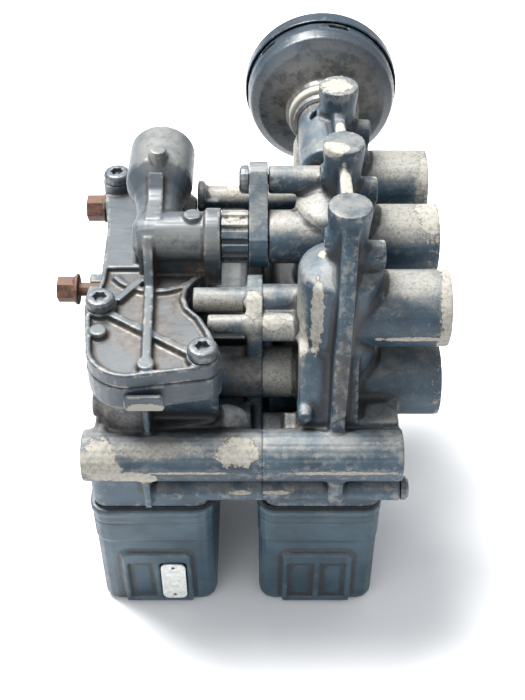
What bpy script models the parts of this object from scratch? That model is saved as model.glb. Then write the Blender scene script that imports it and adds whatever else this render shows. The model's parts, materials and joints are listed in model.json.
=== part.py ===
"""Two-channel electro-pneumatic modulator valve: two cast valve bodies bolted side by side, a boxed
solenoid unit under each, a duct cover on the left body and an exhaust silencer at the back.

Frame: +Z up, +X towards the row of four ports, -Y the front. The origin is the middle of the base.
Lengths in this file are millimetres, and every helper turns them into metres as it makes a mesh.
Places are given from a working origin, and main() moves the finished part so that its base is centred.
"""

from math import cos, pi, radians, sin, sqrt

import bmesh
import bpy
from mathutils import Matrix, Vector

MM = 0.001
GAP = 0.3  # clearance between neighbouring solids
ROUND = 24  # facets of a large cylinder
SMALL_ROUND = 12  # facets of a small one

# Overall layout
ORIGIN_SHIFT_X = -1.75
SEAM_X = 10.5  # plane where the two castings meet
SEAM_GAP = 0.1
PORT_END_X = 109.0
NECK_BOTTOM, NECK_TOP = 91.0, 118.0
BORE_RADIUS, BORE_TOP = 17.0, 152.0

# Solenoid boxes
BOX_WIDTH, BOX_DEPTH, BOX_CORNER = 69.6, 110.0, 9.0
BOX_Y, BOX_TOP, BOX_WALL = -52.5, 89.2, 3.2
BOX_XS = {"left": -52.6, "right": 43.1}
BOX_SCREW_REACH = 46.0
COIL_YS = (-76.0, -29.0)

# Valve bores, one per casting: where each stands in plan
BORES = {"left": (-51.4, -42.0), "right": (48.0, -42.0)}

# Ports on the right body: (y, z)
PORTS = ((-57.0, 198.0), (1.0, 198.3), (59.0, 196.3), (-57.0, 145.6))
PORT_RADIUS = 20.6
PORT_BORE = 10.2
PORT_DEPTH = 20.0

# Supply tube through both bodies, and the tie bolt tube under it
SUPPLY_Y, SUPPLY_Z, SUPPLY_RADIUS = -106.5, 136.0, 14.0
SUPPLY_ENDS = (-86.0, 85.5)
SUPPLY_BORE = 8.6
TIE_Y, TIE_Z, TIE_RADIUS, TIE_END_X = -109.5, 112.0, 7.0, 86.0

# Mounting lugs along the top web
WEB_X, WEB_THICK, FIN_THICK = 54.0, 6.4, 8.0
LUG_YS = (-55.5, 1.0, 59.5)
LUG_RADIUS, LUG_TOP = 11.4, 264.0
CROSS_Z, CROSS_RADIUS, CROSS_BORE, CROSS_END_X = 233.0, 7.6, 4.3, 73.5
POCKET_Z, POCKET_RADIUS, POCKET_START_X = 243.6, 3.6, 41.4

# Barrels under the lugs: plan centre, radius and the height of the dome's rim
BARREL_X, BARREL_YS = 51.0, (-56.5, 1.0, 59.5)
BARREL_RADIUS, BARREL_RIM, CONE_HEIGHT = 22.3, 226.6, 6.4

# Duct between the cover and the right body
DUCT_Y, DUCT_Z = -9.5, 209.0
ELBOW_X = -48.5
SLEEVE_SCREW = (11.0, 233.0)

# Duct cover and the base frame under its front half
COVER_BOTTOM, COVER_TOP, COVER_FLOOR = 184.0, 193.0, 189.8
BASE_BOTTOM, BASE_SPLIT_Y = 168.5, -31.0
COVER_SCREWS = {
    "front": (-20.2, -88.5, 194.0),
    "left": (-76.9, -49.7, 194.0),
    "rear": (-77.7, 60.5, 199.0),
}
SCREW_HEAD_RADIUS = 8.1

# Flange bolts on the left side: (y, z, where the face under the flange stands, width across flats)
FLANGE_BOLTS = {"rear": (67.8, 172.0, -87.6, 14.4), "front": (-20.0, 179.5, -93.6, 13.0)}

# Silencer
SILENCER = (46.6, 231.5)
SILENCER_NECK_END = 90.7

MATERIALS = {
    "cast_aluminium": ((0.30, 0.32, 0.34), 0.55, 0.55),
    "duct_plastic": ((0.28, 0.30, 0.33), 0.6, 0.0),
    "worn_plastic": ((0.62, 0.60, 0.54), 0.6, 0.0),
    "box_plastic": ((0.09, 0.12, 0.16), 0.5, 0.0),
    "silencer_plastic": ((0.05, 0.07, 0.09), 0.45, 0.0),
    "rusty_steel": ((0.36, 0.20, 0.14), 0.6, 0.6),
    "zinc_steel": ((0.45, 0.46, 0.47), 0.4, 0.9),
    "rubber": ((0.03, 0.03, 0.03), 0.8, 0.0),
    "brass": ((0.62, 0.47, 0.20), 0.35, 0.9),
    "coil_winding": ((0.16, 0.12, 0.09), 0.6, 0.0),
    "board": ((0.05, 0.20, 0.10), 0.5, 0.0),
    "white_tag": ((0.75, 0.76, 0.74), 0.5, 0.0),
    "felt": ((0.40, 0.37, 0.32), 0.95, 0.0),
}


# ---------------------------------------------------------------- helpers


def clear_scene():
    for obj in list(bpy.data.objects):
        bpy.data.objects.remove(obj, do_unlink=True)


def material(name):
    found = bpy.data.materials.get(name)
    if found:
        return found
    colour, roughness, metallic = MATERIALS[name]
    made = bpy.data.materials.new(name)
    made.use_nodes = True
    shader = made.node_tree.nodes["Principled BSDF"]
    shader.inputs["Base Color"].default_value = (*colour, 1.0)
    shader.inputs["Roughness"].default_value = roughness
    shader.inputs["Metallic"].default_value = metallic
    return made


def object_from(bm, name="shape"):
    bmesh.ops.recalc_face_normals(bm, faces=bm.faces)
    bmesh.ops.scale(bm, vec=Vector((MM, MM, MM)), verts=bm.verts)
    mesh = bpy.data.meshes.new(name)
    bm.to_mesh(mesh)
    bm.free()
    obj = bpy.data.objects.new(name, mesh)
    bpy.context.scene.collection.objects.link(obj)
    return obj


PLACE = {
    "x": lambda a, b, h: (h, a, b),
    "y": lambda a, b, h: (a, h, b),
    "z": lambda a, b, h: (a, b, h),
}


def revolved(profile, axis, centre, facets=ROUND):
    """A solid turned from a closed (radius, height) profile about an axis line.

    centre gives the two coordinates of that line other than the axis one, in x, y, z order.
    """
    bm = bmesh.new()
    place = PLACE[axis]
    rings = []
    for radius, height in profile:
        if radius < 1e-6:
            rings.append([bm.verts.new(place(centre[0], centre[1], height))])
            continue
        angles = [2 * pi * (i + 0.5) / facets for i in range(facets)]
        circle = [(centre[0] + radius * cos(t), centre[1] + radius * sin(t)) for t in angles]
        rings.append([bm.verts.new(place(a, b, height)) for a, b in circle])
    for k, current in enumerate(rings):
        following = rings[(k + 1) % len(rings)]
        if len(current) == 1 and len(following) == 1:
            continue
        flat = abs(profile[k][1] - profile[(k + 1) % len(rings)][1]) < 1e-9
        if flat and min(len(current), len(following)) == 1:
            bm.faces.new(max(current, following, key=len))
            continue
        for i in range(facets):
            j = (i + 1) % facets
            corners = [current[i % len(current)], current[j % len(current)]]
            corners += [following[j % len(following)], following[i % len(following)]]
            bm.faces.new(list(dict.fromkeys(corners)))
    bmesh.ops.delete(bm, geom=[v for v in bm.verts if not v.link_faces], context="VERTS")
    return object_from(bm)


def rod(axis, centre, start, end, radius, end_radius=None, facets=ROUND):
    """A cylinder or cone along an axis."""
    other = radius if end_radius is None else end_radius
    return revolved([(0, start), (radius, start), (other, end), (0, end)], axis, centre, facets)


def tube(axis, centre, start, end, inner, outer, facets=ROUND):
    profile = [(inner, start), (outer, start), (outer, end), (inner, end)]
    return revolved(profile, axis, centre, facets)


def domed_post(x, y, bottom, top, radius, squash=0.55, facets=ROUND):
    """A vertical round body with a domed top, bulged like a casting over a bore."""
    crown = radius * squash
    steps = 5
    profile = [(0, bottom), (radius, bottom)]
    for k in range(steps + 1):
        a = pi / 2 * k / steps
        profile.append((radius * cos(a), top - crown + crown * sin(a)))
    profile[-1] = (0, top)
    return revolved(profile, "z", (x, y), facets)


def swept(stations, x, facets=ROUND):
    """A tube-like solid along Y through circles given as (y, centre z, radius)."""
    bm = bmesh.new()
    turns = [2 * pi * (k + 0.5) / facets for k in range(facets)]
    rings = [
        [bm.verts.new((x + r * cos(t), y, z + r * sin(t))) for t in turns] for y, z, r in stations
    ]
    for near, far in zip(rings, rings[1:]):
        for i in range(facets):
            j = (i + 1) % facets
            bm.faces.new([near[i], near[j], far[j], far[i]])
    bm.faces.new(rings[0])
    bm.faces.new(rings[-1])
    return object_from(bm)


def prism(outline, axis, start, end):
    """A flat outline pushed along an axis. Outline pairs are the two other coordinates, in order."""
    bm = bmesh.new()
    place = PLACE[axis]
    low = [bm.verts.new(place(a, b, start)) for a, b in outline]
    high = [bm.verts.new(place(a, b, end)) for a, b in outline]
    bm.faces.new(low)
    bm.faces.new(high)
    for i in range(len(outline)):
        j = (i + 1) % len(outline)
        bm.faces.new([low[i], low[j], high[j], high[i]])
    return object_from(bm)


def block(x0, x1, y0, y1, z0, z1):
    return prism([(x0, y0), (x1, y0), (x1, y1), (x0, y1)], "z", z0, z1)


def arc(cx, cy, radius, start_deg, end_deg, steps=6):
    turns = [radians(start_deg + (end_deg - start_deg) * k / steps) for k in range(steps + 1)]
    return [(cx + radius * cos(t), cy + radius * sin(t)) for t in turns]


def rounded_rectangle(cx, cy, width, depth, corner, steps=5):
    x, y = width / 2 - corner, depth / 2 - corner
    return (
        arc(cx + x, cy + y, corner, 0, 90, steps)
        + arc(cx - x, cy + y, corner, 90, 180, steps)
        + arc(cx - x, cy - y, corner, 180, 270, steps)
        + arc(cx + x, cy - y, corner, 270, 360, steps)
    )


def bar(a, b, width, bottom, top):
    """A straight upright rib from point a to point b in plan."""
    ax, ay = a
    bx, by = b
    length = sqrt((bx - ax) ** 2 + (by - ay) ** 2)
    nx, ny = -(by - ay) / length * width / 2, (bx - ax) / length * width / 2
    outline = [(ax + nx, ay + ny), (bx + nx, by + ny), (bx - nx, by - ny), (ax - nx, ay - ny)]
    return prism(outline, "z", bottom, top)


def leaning(obj, per_y=0.0, per_z=0.0, about=(0.0, 0.0)):
    """Shifts a shape along X in proportion to y and z, measured from the point about."""
    for vert in obj.data.vertices:
        vert.co.x += per_y * (vert.co.y - about[0] * MM) + per_z * (vert.co.z - about[1] * MM)
    return obj


def loft(levels):
    """A closed solid through a stack of (outline, z) levels that all have the same point count."""
    bm = bmesh.new()
    loops = [[bm.verts.new((x, y, z)) for x, y in outline] for outline, z in levels]
    for low, high in zip(loops, loops[1:]):
        for i in range(len(low)):
            j = (i + 1) % len(low)
            bm.faces.new([low[i], low[j], high[j], high[i]])
    bm.faces.new(loops[0])
    bm.faces.new(loops[-1])
    return object_from(bm)


def turned_about_y(obj, centre, degrees):
    """Turns a shape about the line along Y through centre, given as (x, z)."""
    pivot = Matrix.Translation((centre[0] * MM, 0, centre[1] * MM))
    obj.data.transform(pivot @ Matrix.Rotation(radians(degrees), 4, "Y") @ pivot.inverted())
    return obj


def clipped(outline, limit, keep_above):
    """The part of an outline with its second coordinate above, or below, the limit."""
    kept = []
    for k, (ax, ay) in enumerate(outline):
        bx, by = outline[(k + 1) % len(outline)]
        if (ay > limit) == keep_above:
            kept.append((ax, ay))
        if (ay > limit) != (by > limit):
            kept.append((ax + (bx - ax) * (limit - ay) / (by - ay), limit))
    return kept


def helix(x, y, bottom, top, radius, wire, turns):
    """A compression spring with its ends cut by its first and last turns."""
    steps = 8 * turns
    curve = bpy.data.curves.new("spring", "CURVE")
    curve.dimensions = "3D"
    curve.bevel_depth = wire * MM
    curve.bevel_resolution = 0
    curve.use_fill_caps = True
    line = curve.splines.new("POLY")
    line.points.add(steps)
    for k in range(steps + 1):
        a = 2 * pi * turns * k / steps
        height = bottom + wire + (top - bottom - 2 * wire) * k / steps
        line.points[k].co = (
            (x + radius * cos(a)) * MM,
            (y + radius * sin(a)) * MM,
            height * MM,
            1,
        )
    obj = bpy.data.objects.new("spring", curve)
    bpy.context.scene.collection.objects.link(obj)
    view = bpy.context.evaluated_depsgraph_get()
    bpy.context.view_layer.update()
    mesh = bpy.data.meshes.new_from_object(obj.evaluated_get(view))
    bpy.data.objects.remove(obj, do_unlink=True)
    spring = bpy.data.objects.new("spring", mesh)
    bpy.context.scene.collection.objects.link(spring)
    return spring


def finish(obj, name, material_name):
    obj.name = name
    obj.data.name = name
    obj.data.materials.clear()
    obj.data.materials.append(material(material_name))
    if obj.type == "MESH":
        obj.data.shade_smooth()
        obj.data.set_sharp_from_angle(angle=radians(35))
    return obj


def fused(name, material_name, shapes, cuts=()):
    """Joins shapes, then takes the cuts away, and keeps the evaluated result as one mesh."""
    base = shapes[0]
    for operation, others in (("UNION", shapes[1:]), ("DIFFERENCE", cuts)):
        for other in others:
            step = base.modifiers.new(operation.lower(), "BOOLEAN")
            step.operation = operation
            step.object = other
    bpy.context.view_layer.update()
    graph = bpy.context.evaluated_depsgraph_get()
    mesh = bpy.data.meshes.new_from_object(base.evaluated_get(graph))
    for obj in [*shapes, *cuts]:
        bpy.data.objects.remove(obj, do_unlink=True)
    result = bpy.data.objects.new(name, mesh)
    bpy.context.scene.collection.objects.link(result)
    return finish(result, name, material_name)


def lobed_outline(cx, cy, outer, inner, lobes, per_lobe=4):
    """A ring of rounded lobes between two radii."""
    count = lobes * per_lobe
    points = []
    for k in range(count):
        a = 2 * pi * k / count
        r = (outer + inner) / 2 + (outer - inner) / 2 * cos(lobes * a)
        points.append((cx + r * cos(a), cy + r * sin(a)))
    return points


def hex_outline(cx, cy, across_flats):
    radius = across_flats / sqrt(3)
    return [(cx + radius * cos(pi / 3 * k), cy + radius * sin(pi / 3 * k)) for k in range(6)]


# ---------------------------------------------------------------- right valve body


def port_bores():
    return [
        rod("x", (y, z), PORT_END_X - PORT_DEPTH, PORT_END_X + 5, PORT_BORE, facets=20)
        for y, z in PORTS
    ]


def right_web():
    """The upright web that joins the three lugs, and the fin down its front to the supply tube."""
    top = [(-62, 250), (-46, 258), (-6, 254), (8, 256), (50, 252), (66, 256)]
    top += [(70.5, 215), (60, 130), (-62, 130)]
    fin = [(-104.5, 144), (-96, 175), (-88.5, 203), (-83, 226), (-75, 243), (-67.5, 257)]
    fin += [(-56, 257), (-56, 144)]
    shapes = []
    for outline, thick in ((top, WEB_THICK), (fin, FIN_THICK)):
        plate = prism(outline, "x", WEB_X - thick / 2, WEB_X + thick / 2)
        shapes.append(leaning(plate, per_z=0.035, about=(0, 250)))
    return shapes


def seam_outline(top, front):
    """Side view of the flange along the seam, dipped where the duct crosses it."""
    dip = min(top - 1, 187.5)
    return [
        (front - 4, 142),
        (front - 4, 106),
        (26, 104),
        (50, 165),
        (53, top),
        (42, top),
        (36, dip),
        (-24, dip),
        (-30, top),
        (front + 12, top),
        (front + 1, top - 10),
        (front, 164),
    ]


def barrel(y):
    """A port's upright barrel with its conical dome."""
    rim, radius = BARREL_RIM, BARREL_RADIUS
    profile = [(0, 112), (17.5, 112), (18, 134), (radius - 0.4, 175), (radius, 200), (radius, rim - 2.4)]
    profile += [(radius - 1.0, rim), (9.4, rim + CONE_HEIGHT), (0, rim + CONE_HEIGHT)]
    return revolved(profile, "z", (BARREL_X, y))


def lug_column(y):
    """A waisted round column with a flat pad on top."""
    pad = LUG_RADIUS
    profile = [(0, 212), (9.6, 212), (9.6, 240), (pad - 0.5, 254), (pad, 258)]
    profile += [(pad, LUG_TOP), (0, LUG_TOP)]
    return revolved(profile, "z", (WEB_X, y), 20)


def right_casting():
    shapes = [barrel(y) for y in BARREL_YS]
    shapes.append(block(31, 70, -58, 62, 112, 192))
    shapes += [rod("x", (y, z), 46, PORT_END_X, PORT_RADIUS) for y, z in PORTS]
    for y in LUG_YS:
        shapes.append(lug_column(y))
        shapes.append(rod("x", (y, CROSS_Z), 48, CROSS_END_X, CROSS_RADIUS, facets=SMALL_ROUND))
        shapes.append(rod("x", (y, POCKET_Z), POCKET_START_X, 50, 5.6, facets=SMALL_ROUND))
    shapes += right_web()
    neck = rounded_rectangle(44.2, BOX_Y, 67.0, BOX_DEPTH - 2, 8)
    shapes.append(prism(neck, "z", NECK_BOTTOM, NECK_TOP))
    shapes.append(rod("x", (SUPPLY_Y, SUPPLY_Z), SEAM_X, SUPPLY_ENDS[1], SUPPLY_RADIUS))
    shapes.append(rod("x", (TIE_Y, TIE_Z), SEAM_X, TIE_END_X, TIE_RADIUS, facets=SMALL_ROUND))
    shapes.append(block(SEAM_X + 0.4, 78, -106.0, -72, 110, 134))
    shapes.append(block(46, 54, -119, -104, 108, 126))
    shapes.append(prism(seam_outline(186, -50), "x", SEAM_X, 16))
    shapes.append(block(14, 40, -60, 20, 108, 150))
    shapes.append(block(13, 40, -20, 64, 108, 172))
    shapes.append(prism([(-76, 184), (-97, 151), (-97, 118), (-60, 118), (-60, 184)], "x", 30, 62))
    shapes.append(prism([(-84, 146), (-97, 140), (-97, 118), (-70, 118)], "x", 22, 34))
    shapes.append(rod("x", (-57, 150.5), SEAM_X, 45, 14.8))
    shapes.append(rod("x", (-57, 184.5), SEAM_X, 45, 8.2, facets=SMALL_ROUND))
    shapes.append(rod("x", (DUCT_Y, DUCT_Z), 13.6, 45, 15.0))
    shapes.append(rod("x", SLEEVE_SCREW, 13.6, 50, 8.0, facets=SMALL_ROUND))
    shapes.append(rod("x", (47.5, 194.4), SEAM_X, 45, 7.6, facets=SMALL_ROUND))
    shapes.append(rod("x", (-42.5, 191), SEAM_X, 45, 9.0, facets=SMALL_ROUND))
    shapes.append(rod("y", SILENCER, 20, SILENCER_NECK_END, 15.0))
    shapes.append(block(60, 84, -96, -70, 132, 150))
    shapes.append(rod("y", (33, 156), -99, -85, 4.2, facets=SMALL_ROUND))
    cuts = port_bores()
    for y in LUG_YS:
        cuts.append(rod("x", (y, CROSS_Z), 50, 76, CROSS_BORE, facets=SMALL_ROUND))
        cuts.append(rod("x", (y, POCKET_Z), 38, 49, POCKET_RADIUS, facets=SMALL_ROUND))
    cuts.append(rod("z", BORES["right"], NECK_BOTTOM - 2, BORE_TOP, BORE_RADIUS))
    cuts.append(rod("x", (SUPPLY_Y, SUPPLY_Z), 66, 90, SUPPLY_BORE, facets=20))
    cuts.append(rod("x", (TIE_Y, TIE_Z), 0, 95, 4.3, facets=10))
    cuts.append(rod("x", SLEEVE_SCREW, 12, 35, 3.3, facets=10))
    cuts.append(rod("x", (DUCT_Y, DUCT_Z), 12, 36, 8.0, facets=SMALL_ROUND))
    cuts.append(rod("y", SILENCER, 67, SILENCER_NECK_END + 2, 10.5, facets=20))
    cuts.append(tube("y", SILENCER, 70.9, 95, 15.0, 20.8))
    return fused("right_valve_body", "cast_aluminium", shapes, cuts)


# ---------------------------------------------------------------- left valve body


def body_outline(shrink=0.0):
    """Plan of the left body and its cover: straight left side, round front, waisted right side."""
    s = shrink
    points = arc(-77.7, 60.5, 8.5 - s, 70, 170, 4)
    points += [(-80.5 + s, 20), (-79.5 + s, -24)]
    points += arc(-76.9, -49.7, 9.0 - s, 110, 185, 4)
    points += arc(-58.0, -80.0, 24.0 - s, 180, 268, 7)
    points += arc(-20.2, -88.5, 9.0 - s, 285, 375, 5)
    points += [(-17.0 - s, -70), (-22.5 - s, -58.5), (-29.0 - s, -51), (-31.5 - s, -43)]
    points += [(-31.0 - s, -36), (-26.0 - s, -26), (-20.5 - s, -16)]
    points += [(-20.5 - s, 18 - s), (-29 - s, 24 - s), (-29 - s, 50), (-44, 69 - s)]
    return points


def left_casting():
    box_x = BOX_XS["left"]
    shapes = [prism(body_outline(1.5), "z", 112, BASE_BOTTOM - GAP)]
    rear = clipped(body_outline(1.1), BASE_SPLIT_Y, True)
    shapes.append(prism(rear, "z", 150, COVER_BOTTOM - GAP))
    neck = rounded_rectangle(box_x, BOX_Y, BOX_WIDTH - 2.6, BOX_DEPTH - 2, 8)
    shapes.append(prism(neck, "z", NECK_BOTTOM, NECK_TOP))
    seam = SEAM_X - SEAM_GAP
    shapes.append(rod("x", (SUPPLY_Y, SUPPLY_Z), SUPPLY_ENDS[0], seam, SUPPLY_RADIUS))
    shapes.append(rod("x", (TIE_Y, TIE_Z), -53.5, seam, TIE_RADIUS, facets=SMALL_ROUND))
    shapes.append(block(-82, -18, -106.0, -80, 110, 134))
    shapes.append(block(-54, -50, -119, -104, 106, 126))
    shapes.append(rod("x", (-57, 150.5), -24, seam, 14.4))
    shapes.append(block(-40, 4, -86, -60, 108, 134))
    shapes.append(rod("x", (-57, 186.3), -19.3, seam, 5.3, facets=SMALL_ROUND))
    shapes.append(rod("x", (-42.5, 191), -27.3, seam, 7.0, facets=SMALL_ROUND))
    shapes.append(rod("x", (47.5, 194.4), -28.2, seam, 7.6, facets=SMALL_ROUND))
    shapes.append(rod("x", (47.5, 194.4), -28.3, -24, 10.5))
    shapes.append(block(-27, -16, 39, 56, 120, 198))
    shapes.append(prism(seam_outline(199, -62), "x", 1.8, seam))
    shapes.append(block(-40, 4, -40, 42, 108, 160))
    shapes.append(domed_post(-10, -88, 108, 147, 15))
    shapes.append(rod("x", (-87.5, 157), -80.5, -60, 7.8, facets=SMALL_ROUND))
    shapes.append(rod("y", (-76, 146), -104, -80, 4.4, facets=SMALL_ROUND))
    for name, place in FLANGE_BOLTS.items():
        y = place[0]
        face = -88.3 if name == "front" else -87.3
        shapes.append(block(face, -66, y - 9.3, y + 9.3, 160, COVER_BOTTOM - GAP))
    for y in (-6.0, 22.0, 50.0):
        shapes.append(block(-82, -70, y - 2.5, y + 2.5, 112, 166))
    shapes.append(rod("y", (-52, 142), 50, 76, 13))
    recess = block(-49, -5, -112, -92.5, 150, BASE_BOTTOM + 2)
    rib = block(-52.4, -49.2, -104.6, -90, 140, BASE_BOTTOM - GAP)
    cuts = [rod("z", BORES["left"], NECK_BOTTOM - 2, BORE_TOP, BORE_RADIUS), recess]
    cuts.append(rod("x", (SUPPLY_Y, SUPPLY_Z), -90, -66, SUPPLY_BORE, facets=20))
    cuts.append(rod("x", (TIE_Y, TIE_Z), -40, 20, 4.3, facets=10))
    cuts += [rod("x", place[:2], -95, -64, 4.3, facets=10) for place in FLANGE_BOLTS.values()]
    cuts += [rod("z", (x, y), 150, 190, 3.0, facets=10) for x, y, _ in COVER_SCREWS.values()]
    return fused("left_valve_body", "cast_aluminium", [*shapes, rib], cuts)


# ---------------------------------------------------------------- duct cover


def cover_duct_shapes():
    x_tube = [
        (0, -62.3),
        (8, -61.4),
        (12.4, -58.2),
        (13.9, -53.5),
        (13.9, -21.4),
        (15.8, -21.0),
        (15.8, -12.5),
        (0, -12.5),
    ]
    shapes = [revolved(x_tube, "x", (DUCT_Y, DUCT_Z))]
    flare = [(DUCT_Y, DUCT_Z, 12.8), (6, 209.6, 12.8), (12, 211.6, 13.1), (17, 214.6, 14.3)]
    flare += [(20.5, 217.4, 17.0), (23, 219.4, 18.7), (25, 220, 19), (57, 220, 19)]
    shapes.append(swept(flare, ELBOW_X))
    shapes.append(block(-61, -37, -14, 55, 190, 212))
    shapes.append(block(-58, -21.6, -20, 0, 190, 206))
    shapes.append(block(-21.6, -12.5, -25.3, 0, 187, 209))
    plate = [(-12, 216), (-12, 223.2), (5, 223.9), (11, 226.6), (14.6, 230.6), (17, 234), (19, 226)]
    shapes.append(prism(plate, "x", -53.6, -45.0))
    shapes.append(rod("z", (-48.0, 25.5), 232, 243.5, 5.0, facets=SMALL_ROUND))
    shapes.append(rod("z", (-28.0, DUCT_Y), 216, 224.6, 5.0, facets=SMALL_ROUND))
    return shapes


def cover_ribs():
    profile = [(-100, 188), (-95, 194.5), (-37, 196), (-24.5, 212), (-21.5, 217.5)]
    profile += [(-12, 217.5), (-12, 188)]
    long_rib = leaning(prism(profile, "x", -54.0, -48.8), per_y=-0.044, about=(-40, 0))
    ribs = [long_rib]
    ribs.append(bar((-71, -56), (-27, -86), 4.6, 188, 193.6))
    ribs.append(bar((-69, -45), (-56, -26), 4.6, 188, 193.6))
    bend = arc(-48.5, -7.5, 28.5, 214, 340, 9)
    ribs += [bar(a, b, 3.4, 188, 192.6) for a, b in zip(bend, bend[1:])]
    return ribs


def duct_cover():
    shapes = [prism(body_outline(), "z", COVER_BOTTOM, COVER_TOP)]
    pocket = prism(clipped(body_outline(3.0), -17.0, False), "z", COVER_FLOOR, COVER_TOP + 3)
    plate = fused("plate", "duct_plastic", shapes, [pocket])
    shapes = [plate, *cover_duct_shapes(), *cover_ribs()]
    for x, y, under_head in COVER_SCREWS.values():
        shapes.append(rod("z", (x, y), 186, under_head - GAP, 8.7))
    for x, y in ((-76.3, -69.9), (-49.2, -95.0)):
        shapes.append(rod("z", (x, y), 188, 194.4, 4.8, facets=SMALL_ROUND))
    under = clipped(body_outline(4.0), 12.0, False)
    cuts = [prism(under, "z", COVER_BOTTOM - 3, 187.6)]
    cuts.append(rod("x", (DUCT_Y, DUCT_Z), -50, -8, 8.5, facets=SMALL_ROUND))
    cuts.append(rod("y", (ELBOW_X, 211.5), DUCT_Y, 60, 8.5, facets=SMALL_ROUND))
    cuts.append(rod("y", (ELBOW_X, 220), 30, 60, 13.5, facets=20))
    cuts += [rod("z", (x, y), 180, 210, 3.0, facets=10) for x, y, _ in COVER_SCREWS.values()]
    return fused("duct_cover", "duct_plastic", shapes, cuts)


def cover_base():
    outline = clipped(body_outline(-0.4), BASE_SPLIT_Y - GAP, False)
    shapes = [prism(outline, "z", BASE_BOTTOM, COVER_BOTTOM - GAP)]
    inner = clipped(body_outline(4.0), BASE_SPLIT_Y - 4, False)
    screws = [(x, y) for x, y, _ in COVER_SCREWS.values() if y < BASE_SPLIT_Y]
    cuts = [prism(inner, "z", BASE_BOTTOM + 3, COVER_BOTTOM + 2)]
    hollow = fused("hollow", "duct_plastic", shapes, cuts)
    posts = [rod("z", place, BASE_BOTTOM + 1, COVER_BOTTOM - GAP - 0.4, 8.0) for place in screws]
    holes = [rod("z", place, BASE_BOTTOM - 3, COVER_BOTTOM + 3, 3.0, facets=10) for place in screws]
    return fused("cover_base", "duct_plastic", [hollow, *posts], holes)


def cover_clip():
    """The latch tab on the front of the base frame."""
    front = -104.8
    outline = [(-60, 171), (-41, 171), (-40, 173), (-40, 179)]
    outline += [(-42, 181), (-59, 181), (-61, 179), (-61, 173)]
    return fused("cover_clip", "worn_plastic", [prism(outline, "y", front - 2.6, front)])


def torx_screw(name, x, y, under_head, length):
    z = under_head
    r = SCREW_HEAD_RADIUS
    profile = [(0, z - length), (2.2, z - length), (2.6, z - length + 1), (2.6, z)]
    profile += [(r - 0.4, z), (r, z + 0.6), (r, z + 4.2), (r - 1.0, z + 5.6)]
    profile += [(r - 2.4, z + 6.0), (0, z + 6.0)]
    recess = prism(lobed_outline(x, y, 4.1, 2.9, 6, 3), "z", z + 2.6, z + 9)
    return fused(name, "zinc_steel", [revolved(profile, "z", (x, y), 16)], [recess])


# ---------------------------------------------------------------- duct sleeve and its screw


def duct_sleeve():
    ribs, top, root = 12, 14.7, 12.9
    outline = []
    for k in range(ribs):
        for share, radius in ((0.0, root), (0.3, root), (0.38, top), (0.92, top)):
            a = 2 * pi * (k + share) / ribs
            outline.append((DUCT_Y + radius * cos(a), DUCT_Z + radius * sin(a)))
    body = prism(outline, "x", -12.2, 2.9)
    bore = rod("x", (DUCT_Y, DUCT_Z), -15, 5, 8.5, facets=SMALL_ROUND)
    return fused("duct_sleeve", "cast_aluminium", [body], [bore])


def sleeve_flange():
    """An oval flange: a round part on the duct and an ear for the screw, joined by tangents."""
    y, z = DUCT_Y, DUCT_Z
    ear_y, ear_z = SLEEVE_SCREW
    outline = arc(y, z, 17.0, 150, 335, 12) + arc(ear_y, ear_z, 10.0, -25, 120, 8)
    body = prism(outline, "x", 3.2, 13.5)
    bore = rod("x", (y, z), 0, 16, 8.5, facets=SMALL_ROUND)
    hole = rod("x", SLEEVE_SCREW, 0, 16, 3.3, facets=10)
    return fused("sleeve_flange", "cast_aluminium", [body], [bore, hole])


def sleeve_screw():
    profile = [(0, -2.4), (5.6, -2.4), (7.6, -1.4), (8.0, 0.4), (8.0, 2.9)]
    profile += [(3.0, 2.9), (3.0, 33), (0, 33)]
    return fused("sleeve_screw", "zinc_steel", [revolved(profile, "x", SLEEVE_SCREW, 16)])


# ---------------------------------------------------------------- bolts


def flange_bolt(name, y, z, face, across):
    """A hexagon bolt with a flange, pointing +X, with a shallow cup in its head."""
    head = prism(hex_outline(y, z, across), "x", face - 11.9, face - 1.5)
    profile = [(0, face - 3.4), (6.6, face - 3.4), (9.0, face - 1.2), (9.0, face), (0, face)]
    flange = revolved(profile, "x", (y, z), 16)
    shank = rod("x", (y, z), face - 1, face + 22, 4.0, facets=10)
    cup = rod("x", (y, z), face - 14, face - 10.6, 4.6, 3.6, facets=SMALL_ROUND)
    return fused(name, "rusty_steel", [head, flange, shank], [cup])


def tie_bolt():
    end = TIE_END_X + GAP
    profile = [(0, -38), (4.0, -38), (4.0, end), (6.6, end), (6.6, end + 2.6)]
    profile += [(5.2, end + 4.2), (0, end + 5)]
    return fused("tie_bolt", "zinc_steel", [revolved(profile, "x", (TIE_Y, TIE_Z), SMALL_ROUND)])


# ---------------------------------------------------------------- solenoid boxes


def box_level(x, inset, z):
    corner = BOX_CORNER - inset
    return rounded_rectangle(x, BOX_Y, BOX_WIDTH - 2 * inset, BOX_DEPTH - 2 * inset, corner, 3), z


def box_screw_places(x):
    return {"front": (x, BOX_Y - BOX_SCREW_REACH), "rear": (x, BOX_Y + BOX_SCREW_REACH)}


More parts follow.
